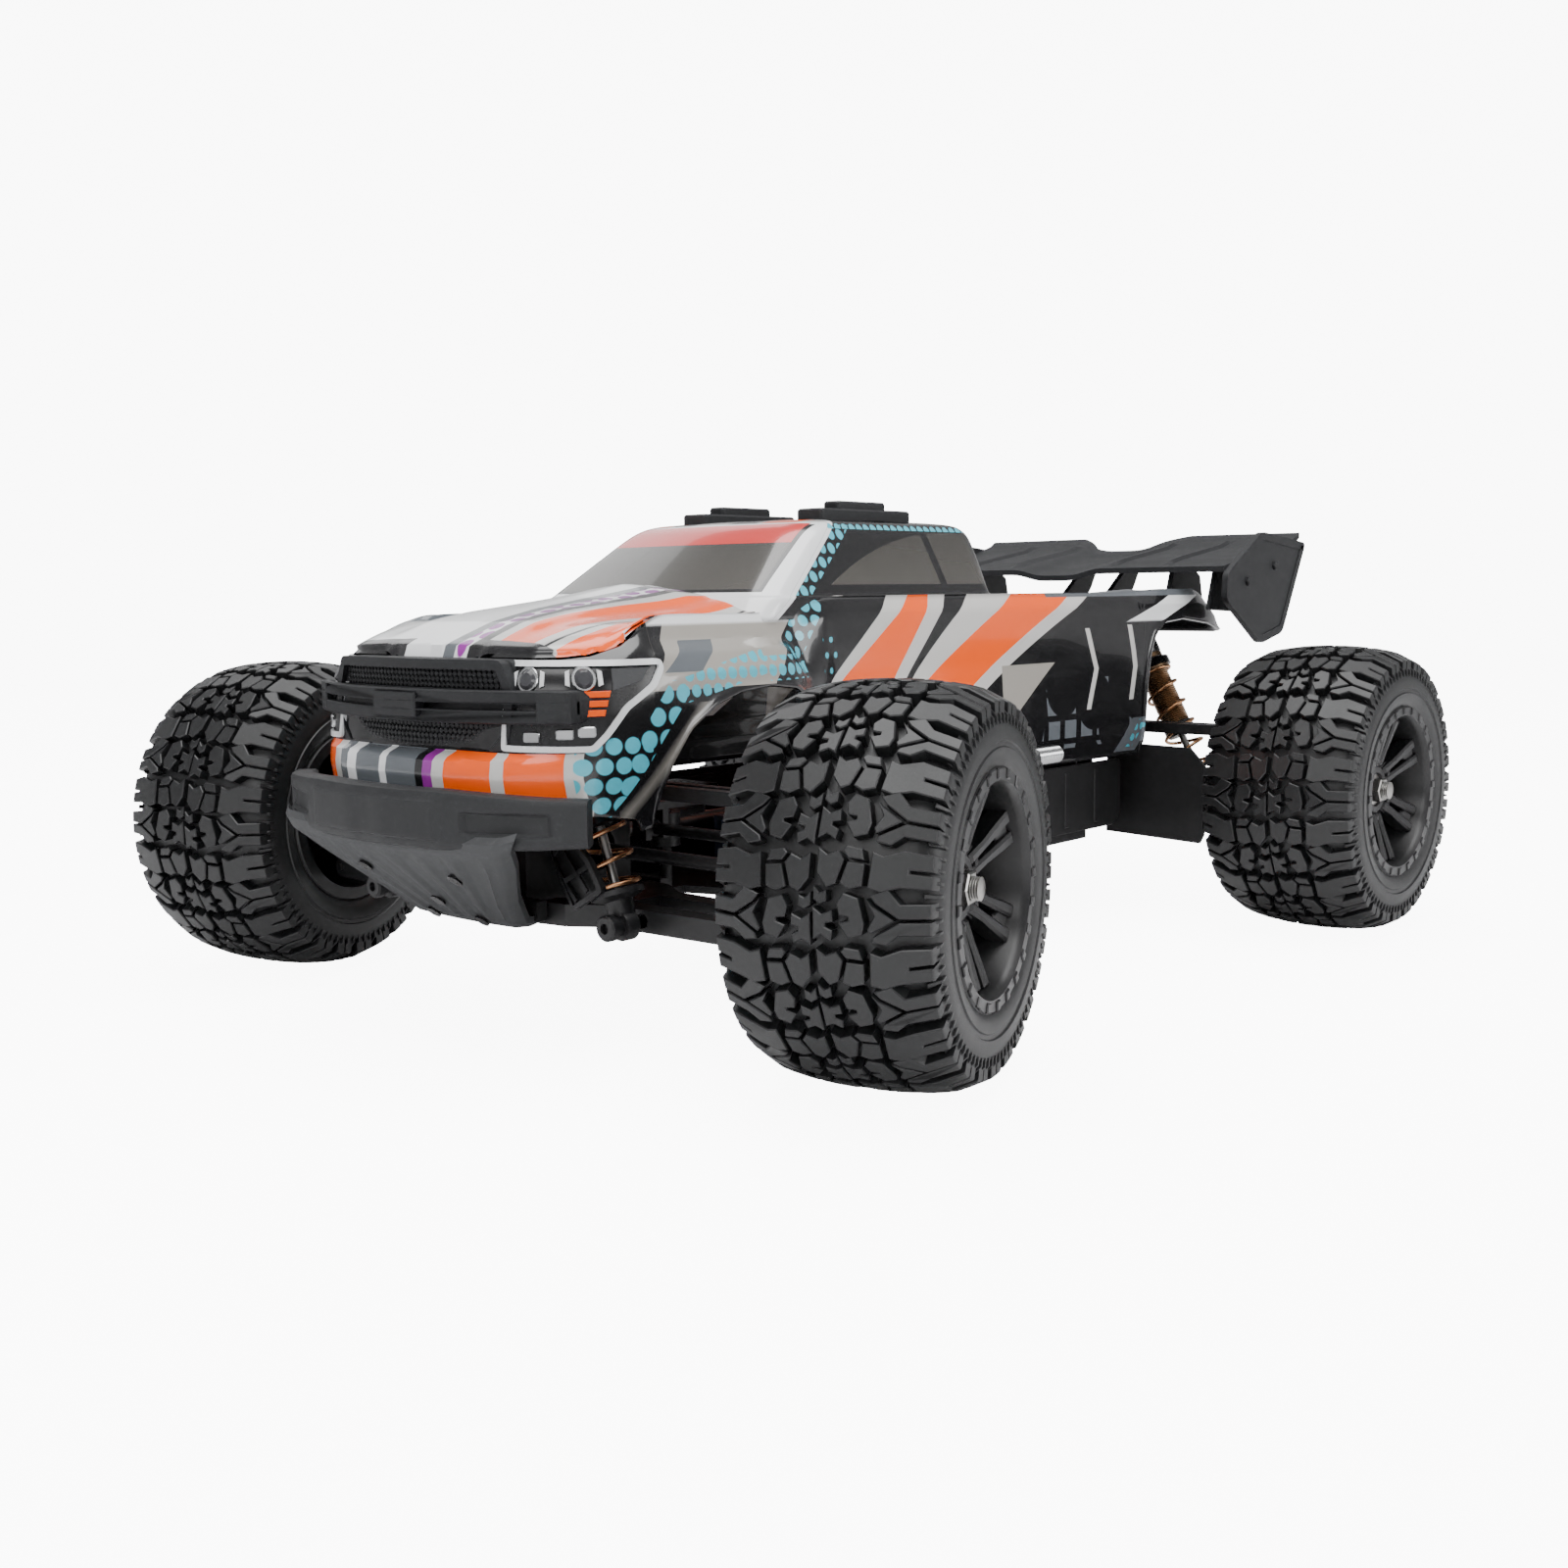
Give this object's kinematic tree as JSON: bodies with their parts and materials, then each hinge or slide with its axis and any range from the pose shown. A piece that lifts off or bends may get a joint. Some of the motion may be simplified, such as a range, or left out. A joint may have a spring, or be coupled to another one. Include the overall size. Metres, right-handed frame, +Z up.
{
  "type": "radio-controlled monster truck",
  "caption": "Four-wheel-drive radio-controlled monster truck with steering, sprung arms, driven wheels, painted pickup shell and rear wing.",
  "frame": {"origin": "on the ground, at the centre of the footprint of the bounding box, with the front wheels steered 16 degrees to the left", "axes": "-Y towards the nose, +X towards the truck's left side, +Z up"},
  "size_m": [0.4184, 0.5244, 0.197],
  "materials": {
    "tyre_rubber": "moulded rubber",
    "rim_plastic": "satin moulded nylon",
    "arm_plastic": "glass-filled nylon",
    "shaft_steel": "turned steel",
    "shock_bronze": "bronze anodised",
    "shock_steel": "nylon ends on a polished steel shaft",
    "spring_bronze": "bronze coated wire",
    "tray_plastic": "moulded composite",
    "bumper_plastic": "moulded nylon",
    "shell_paint": "painted clear polycarbonate",
    "trim_plastic": "moulded nylon",
    "battery_wrap": "printed wrap",
    "motor_can": "black anodised can"
  },
  "bodies": {
    "chassis": {"chassis": "tray_plastic", "front_gearbox": "arm_plastic", "rear_gearbox": "arm_plastic", "shock_towers": "arm_plastic", "front_bumper": "bumper_plastic", "body_shell": "shell_paint", "grille": "trim_plastic", "roof_skids": "trim_plastic", "rear_wing": "trim_plastic", "battery_pack": "battery_wrap", "speed_controller": "trim_plastic", "motor": "motor_can", "steering_servo": "trim_plastic"},
    "centre_shaft": {"centre_shaft": "shaft_steel"},
    "motor_pinion": {"motor_pinion": "shaft_steel"},
    "front_differential": {"front_differential": "shaft_steel"},
    "front_lower_arm_left": {"front_lower_arm_left": "arm_plastic"},
    "front_upper_arm_left": {"front_upper_arm_left": "arm_plastic"},
    "front_hub_carrier_left": {"front_hub_carrier_left": "arm_plastic"},
    "front_drive_shaft_left": {"front_drive_shaft_left": "shaft_steel"},
    "front_shock_body_left": {"front_shock_body_left": "shock_bronze", "front_shock_spring_left": "spring_bronze"},
    "front_shock_shaft_left": {"front_shock_shaft_left": "shock_steel"},
    "front_wheel_left": {"front_tyre_left": "tyre_rubber", "front_rim_left": "rim_plastic"},
    "front_knuckle_left": {"front_knuckle_left": "arm_plastic"},
    "front_lower_arm_right": {"front_lower_arm_right": "arm_plastic"},
    "front_upper_arm_right": {"front_upper_arm_right": "arm_plastic"},
    "front_hub_carrier_right": {"front_hub_carrier_right": "arm_plastic"},
    "front_drive_shaft_right": {"front_drive_shaft_right": "shaft_steel"},
    "front_shock_body_right": {"front_shock_body_right": "shock_bronze", "front_shock_spring_right": "spring_bronze"},
    "front_shock_shaft_right": {"front_shock_shaft_right": "shock_steel"},
    "front_wheel_right": {"front_tyre_right": "tyre_rubber", "front_rim_right": "rim_plastic"},
    "front_knuckle_right": {"front_knuckle_right": "arm_plastic"},
    "rear_differential": {"rear_differential": "shaft_steel"},
    "rear_lower_arm_left": {"rear_lower_arm_left": "arm_plastic"},
    "rear_upper_arm_left": {"rear_upper_arm_left": "arm_plastic"},
    "rear_hub_carrier_left": {"rear_hub_carrier_left": "arm_plastic"},
    "rear_drive_shaft_left": {"rear_drive_shaft_left": "shaft_steel"},
    "rear_shock_body_left": {"rear_shock_body_left": "shock_bronze", "rear_shock_spring_left": "spring_bronze"},
    "rear_shock_shaft_left": {"rear_shock_shaft_left": "shock_steel"},
    "rear_wheel_left": {"rear_tyre_left": "tyre_rubber", "rear_rim_left": "rim_plastic"},
    "rear_lower_arm_right": {"rear_lower_arm_right": "arm_plastic"},
    "rear_upper_arm_right": {"rear_upper_arm_right": "arm_plastic"},
    "rear_hub_carrier_right": {"rear_hub_carrier_right": "arm_plastic"},
    "rear_drive_shaft_right": {"rear_drive_shaft_right": "shaft_steel"},
    "rear_shock_body_right": {"rear_shock_body_right": "shock_bronze", "rear_shock_spring_right": "spring_bronze"},
    "rear_shock_shaft_right": {"rear_shock_shaft_right": "shock_steel"},
    "rear_wheel_right": {"rear_tyre_right": "tyre_rubber", "rear_rim_right": "rim_plastic"},
    "steering_crank": {"steering_crank": "arm_plastic"},
    "servo_saver": {"servo_saver": "arm_plastic"},
    "drag_link": {"drag_link": "arm_plastic"},
    "tie_rod_left": {"tie_rod_left": "shaft_steel"},
    "tie_rod_right": {"tie_rod_right": "shaft_steel"}
  },
  "joints": [
    {"name": "front_differential_spin", "type": "hinge", "parent": "chassis", "child": "front_differential", "pos_m": [0, -0.18, 0.066], "axis": [1, 0, 0], "continuous": true},
    {"name": "front_arm_left_swing", "type": "hinge", "parent": "chassis", "child": "front_lower_arm_left", "pos_m": [0.026, -0.18, 0.046], "axis": [0, -1, 0], "range_deg": [-12, 12], "stiffness_Nm_per_rad": 16, "springref_deg": -3.72},
    {"name": "front_upper_arm_left_swing", "type": "hinge", "parent": "chassis", "child": "front_upper_arm_left", "pos_m": [0.026, -0.18, 0.09], "axis": [0, -1, 0], "range_deg": [-12, 12]},
    {"name": "front_hub_carrier_left_pivot", "type": "hinge", "parent": "front_lower_arm_left", "child": "front_hub_carrier_left", "pos_m": [0.118, -0.18, 0.046], "axis": [0, -1, 0], "range_deg": [-12, 12]},
    {"name": "front_drive_shaft_left_spin", "type": "hinge", "parent": "front_lower_arm_left", "child": "front_drive_shaft_left", "pos_m": [0.075, -0.18, 0.066], "axis": [1, 0, 0], "continuous": true},
    {"name": "front_shock_left_tilt", "type": "hinge", "parent": "chassis", "child": "front_shock_body_left", "pos_m": [0.04, -0.204, 0.122], "axis": [0, -1, 0], "range_deg": [-2.04, 2.04]},
    {"name": "front_shock_left_stroke", "type": "slide", "parent": "front_shock_body_left", "child": "front_shock_shaft_left", "axis": [0.3348, 0, -0.9423], "range_m": [-0.00808, 0.00808], "deforming": ["front_shock_spring_left"]},
    {"name": "steer_left", "type": "hinge", "parent": "front_hub_carrier_left", "child": "front_knuckle_left", "pos_m": [0.12875, -0.18, 0.066], "axis": [0, 0, 1], "range_deg": [-46, 14], "stiffness_Nm_per_rad": 2},
    {"name": "front_wheel_left_spin", "type": "hinge", "parent": "front_knuckle_left", "child": "front_wheel_left", "pos_m": [0.12875, -0.18, 0.066], "axis": [0.9613, 0.2756, 0], "continuous": true},
    {"name": "front_arm_right_swing", "type": "hinge", "parent": "chassis", "child": "front_lower_arm_right", "pos_m": [-0.026, -0.18, 0.046], "axis": [0, 1, 0], "range_deg": [-12, 12], "stiffness_Nm_per_rad": 16, "springref_deg": -3.72},
    {"name": "front_upper_arm_right_swing", "type": "hinge", "parent": "chassis", "child": "front_upper_arm_right", "pos_m": [-0.026, -0.18, 0.09], "axis": [0, 1, 0], "range_deg": [-12, 12]},
    {"name": "front_hub_carrier_right_pivot", "type": "hinge", "parent": "front_lower_arm_right", "child": "front_hub_carrier_right", "pos_m": [-0.118, -0.18, 0.046], "axis": [0, 1, 0], "range_deg": [-12, 12]},
    {"name": "front_drive_shaft_right_spin", "type": "hinge", "parent": "front_lower_arm_right", "child": "front_drive_shaft_right", "pos_m": [-0.075, -0.18, 0.066], "axis": [1, 0, 0], "continuous": true},
    {"name": "front_shock_right_tilt", "type": "hinge", "parent": "chassis", "child": "front_shock_body_right", "pos_m": [-0.04, -0.204, 0.122], "axis": [0, 1, 0], "range_deg": [-2.04, 2.04]},
    {"name": "front_shock_right_stroke", "type": "slide", "parent": "front_shock_body_right", "child": "front_shock_shaft_right", "axis": [-0.3348, 0, -0.9423], "range_m": [-0.00808, 0.00808], "deforming": ["front_shock_spring_right"]},
    {"name": "steer_right", "type": "hinge", "parent": "front_hub_carrier_right", "child": "front_knuckle_right", "pos_m": [-0.12875, -0.18, 0.066], "axis": [0, 0, 1], "range_deg": [-46, 14]},
    {"name": "front_wheel_right_spin", "type": "hinge", "parent": "front_knuckle_right", "child": "front_wheel_right", "pos_m": [-0.12875, -0.18, 0.066], "axis": [0.9613, 0.2756, 0], "continuous": true},
    {"name": "rear_differential_spin", "type": "hinge", "parent": "chassis", "child": "rear_differential", "pos_m": [0, 0.16, 0.066], "axis": [1, 0, 0], "continuous": true},
    {"name": "rear_arm_left_swing", "type": "hinge", "parent": "chassis", "child": "rear_lower_arm_left", "pos_m": [0.026, 0.16, 0.046], "axis": [0, -1, 0], "range_deg": [-12, 12], "stiffness_Nm_per_rad": 16, "springref_deg": -3.72},
    {"name": "rear_upper_arm_left_swing", "type": "hinge", "parent": "chassis", "child": "rear_upper_arm_left", "pos_m": [0.026, 0.16, 0.09], "axis": [0, -1, 0], "range_deg": [-12, 12]},
    {"name": "rear_hub_carrier_left_pivot", "type": "hinge", "parent": "rear_lower_arm_left", "child": "rear_hub_carrier_left", "pos_m": [0.118, 0.16, 0.046], "axis": [0, -1, 0], "range_deg": [-12, 12]},
    {"name": "rear_drive_shaft_left_spin", "type": "hinge", "parent": "rear_lower_arm_left", "child": "rear_drive_shaft_left", "pos_m": [0.075, 0.16, 0.066], "axis": [1, 0, 0], "continuous": true},
    {"name": "rear_shock_left_tilt", "type": "hinge", "parent": "chassis", "child": "rear_shock_body_left", "pos_m": [0.046, 0.184, 0.132], "axis": [0, -1, 0], "range_deg": [-3.54, 3.54]},
    {"name": "rear_shock_left_stroke", "type": "slide", "parent": "rear_shock_body_left", "child": "rear_shock_shaft_left", "axis": [0.464, 0, -0.8858], "range_m": [-0.01207, 0.01207], "deforming": ["rear_shock_spring_left"]},
    {"name": "rear_wheel_left_spin", "type": "hinge", "parent": "rear_hub_carrier_left", "child": "rear_wheel_left", "pos_m": [0.12875, 0.16, 0.066], "axis": [1, 0, 0], "continuous": true},
    {"name": "rear_arm_right_swing", "type": "hinge", "parent": "chassis", "child": "rear_lower_arm_right", "pos_m": [-0.026, 0.16, 0.046], "axis": [0, 1, 0], "range_deg": [-12, 12], "stiffness_Nm_per_rad": 16, "springref_deg": -3.72},
    {"name": "rear_upper_arm_right_swing", "type": "hinge", "parent": "chassis", "child": "rear_upper_arm_right", "pos_m": [-0.026, 0.16, 0.09], "axis": [0, 1, 0], "range_deg": [-12, 12]},
    {"name": "rear_hub_carrier_right_pivot", "type": "hinge", "parent": "rear_lower_arm_right", "child": "rear_hub_carrier_right", "pos_m": [-0.118, 0.16, 0.046], "axis": [0, 1, 0], "range_deg": [-12, 12]},
    {"name": "rear_drive_shaft_right_spin", "type": "hinge", "parent": "rear_lower_arm_right", "child": "rear_drive_shaft_right", "pos_m": [-0.075, 0.16, 0.066], "axis": [1, 0, 0], "continuous": true},
    {"name": "rear_shock_right_tilt", "type": "hinge", "parent": "chassis", "child": "rear_shock_body_right", "pos_m": [-0.046, 0.184, 0.132], "axis": [0, 1, 0], "range_deg": [-3.54, 3.54]},
    {"name": "rear_shock_right_stroke", "type": "slide", "parent": "rear_shock_body_right", "child": "rear_shock_shaft_right", "axis": [-0.464, 0, -0.8858], "range_m": [-0.01207, 0.01207], "deforming": ["rear_shock_spring_right"]},
    {"name": "rear_wheel_right_spin", "type": "hinge", "parent": "rear_hub_carrier_right", "child": "rear_wheel_right", "pos_m": [-0.12875, 0.16, 0.066], "axis": [1, 0, 0], "continuous": true},
    {"name": "centre_shaft_spin", "type": "hinge", "parent": "chassis", "child": "centre_shaft", "pos_m": [0, 0, 0.066], "axis": [0, 1, 0], "continuous": true},
    {"name": "motor_pinion_spin", "type": "hinge", "parent": "chassis", "child": "motor_pinion", "pos_m": [-0.03, 0.038, 0.066], "axis": [0, 1, 0], "continuous": true},
    {"name": "steering_crank_turn", "type": "hinge", "parent": "chassis", "child": "steering_crank", "pos_m": [0.022, -0.14, 0.07], "axis": [0, 0, 1], "range_deg": [-46, 14]},
    {"name": "servo_saver_turn", "type": "hinge", "parent": "chassis", "child": "servo_saver", "pos_m": [-0.022, -0.14, 0.073], "axis": [0, 0, 1], "range_deg": [-46, 14]},
    {"name": "drag_link_turn", "type": "hinge", "parent": "steering_crank", "child": "drag_link", "pos_m": [0.01483, -0.11501, 0.079], "axis": [0, 0, 1], "range_deg": [-14, 46]},
    {"name": "tie_rod_left_swing", "type": "hinge", "parent": "drag_link", "child": "tie_rod_left", "pos_m": [0.02958, -0.15501, 0.071], "axis": [0, -1, 0], "range_deg": [-12, 12]},
    {"name": "tie_rod_right_swing", "type": "hinge", "parent": "drag_link", "child": "tie_rod_right", "pos_m": [-0.04392, -0.15501, 0.071], "axis": [0, 1, 0], "range_deg": [-12, 12]}
  ],
  "couplings": [
    {"joint": "front_differential_spin", "follows": "rear_wheel_left_spin", "ratio": 1},
    {"joint": "front_upper_arm_left_swing", "follows": "front_arm_left_swing", "ratio": 1},
    {"joint": "front_hub_carrier_left_pivot", "follows": "front_arm_left_swing", "ratio": -1},
    {"joint": "front_drive_shaft_left_spin", "follows": "rear_wheel_left_spin", "ratio": 1},
    {"joint": "front_shock_left_tilt", "follows": "front_arm_left_swing", "ratio": 0.17},
    {"joint": "front_shock_left_stroke", "follows": "front_arm_left_swing", "m_per_rad": -0.03857},
    {"joint": "front_wheel_left_spin", "follows": "rear_wheel_left_spin", "ratio": 1},
    {"joint": "front_upper_arm_right_swing", "follows": "front_arm_right_swing", "ratio": 1},
    {"joint": "front_hub_carrier_right_pivot", "follows": "front_arm_right_swing", "ratio": -1},
    {"joint": "front_drive_shaft_right_spin", "follows": "rear_wheel_left_spin", "ratio": 1},
    {"joint": "front_shock_right_tilt", "follows": "front_arm_right_swing", "ratio": 0.17},
    {"joint": "front_shock_right_stroke", "follows": "front_arm_right_swing", "m_per_rad": -0.03857},
    {"joint": "steer_right", "follows": "steer_left", "ratio": 1},
    {"joint": "front_wheel_right_spin", "follows": "rear_wheel_left_spin", "ratio": 1},
    {"joint": "rear_differential_spin", "follows": "rear_wheel_left_spin", "ratio": 1},
    {"joint": "rear_upper_arm_left_swing", "follows": "rear_arm_left_swing", "ratio": 1},
    {"joint": "rear_hub_carrier_left_pivot", "follows": "rear_arm_left_swing", "ratio": -1},
    {"joint": "rear_drive_shaft_left_spin", "follows": "rear_wheel_left_spin", "ratio": 1},
    {"joint": "rear_shock_left_tilt", "follows": "rear_arm_left_swing", "ratio": 0.2952},
    {"joint": "rear_shock_left_stroke", "follows": "rear_arm_left_swing", "m_per_rad": -0.057618},
    {"joint": "rear_upper_arm_right_swing", "follows": "rear_arm_right_swing", "ratio": 1},
    {"joint": "rear_hub_carrier_right_pivot", "follows": "rear_arm_right_swing", "ratio": -1},
    {"joint": "rear_drive_shaft_right_spin", "follows": "rear_wheel_left_spin", "ratio": 1},
    {"joint": "rear_shock_right_tilt", "follows": "rear_arm_right_swing", "ratio": 0.2952},
    {"joint": "rear_shock_right_stroke", "follows": "rear_arm_right_swing", "m_per_rad": -0.057618},
    {"joint": "rear_wheel_right_spin", "follows": "rear_wheel_left_spin", "ratio": 1},
    {"joint": "centre_shaft_spin", "follows": "rear_wheel_left_spin", "ratio": -3.3077},
    {"joint": "motor_pinion_spin", "follows": "rear_wheel_left_spin", "ratio": 9.0962},
    {"joint": "steering_crank_turn", "follows": "steer_left", "ratio": 1},
    {"joint": "servo_saver_turn", "follows": "steer_left", "ratio": 1},
    {"joint": "drag_link_turn", "follows": "steer_left", "ratio": -1},
    {"joint": "tie_rod_left_swing", "follows": "front_arm_left_swing", "ratio": 1},
    {"joint": "tie_rod_right_swing", "follows": "front_arm_right_swing", "ratio": 1}
  ]
}
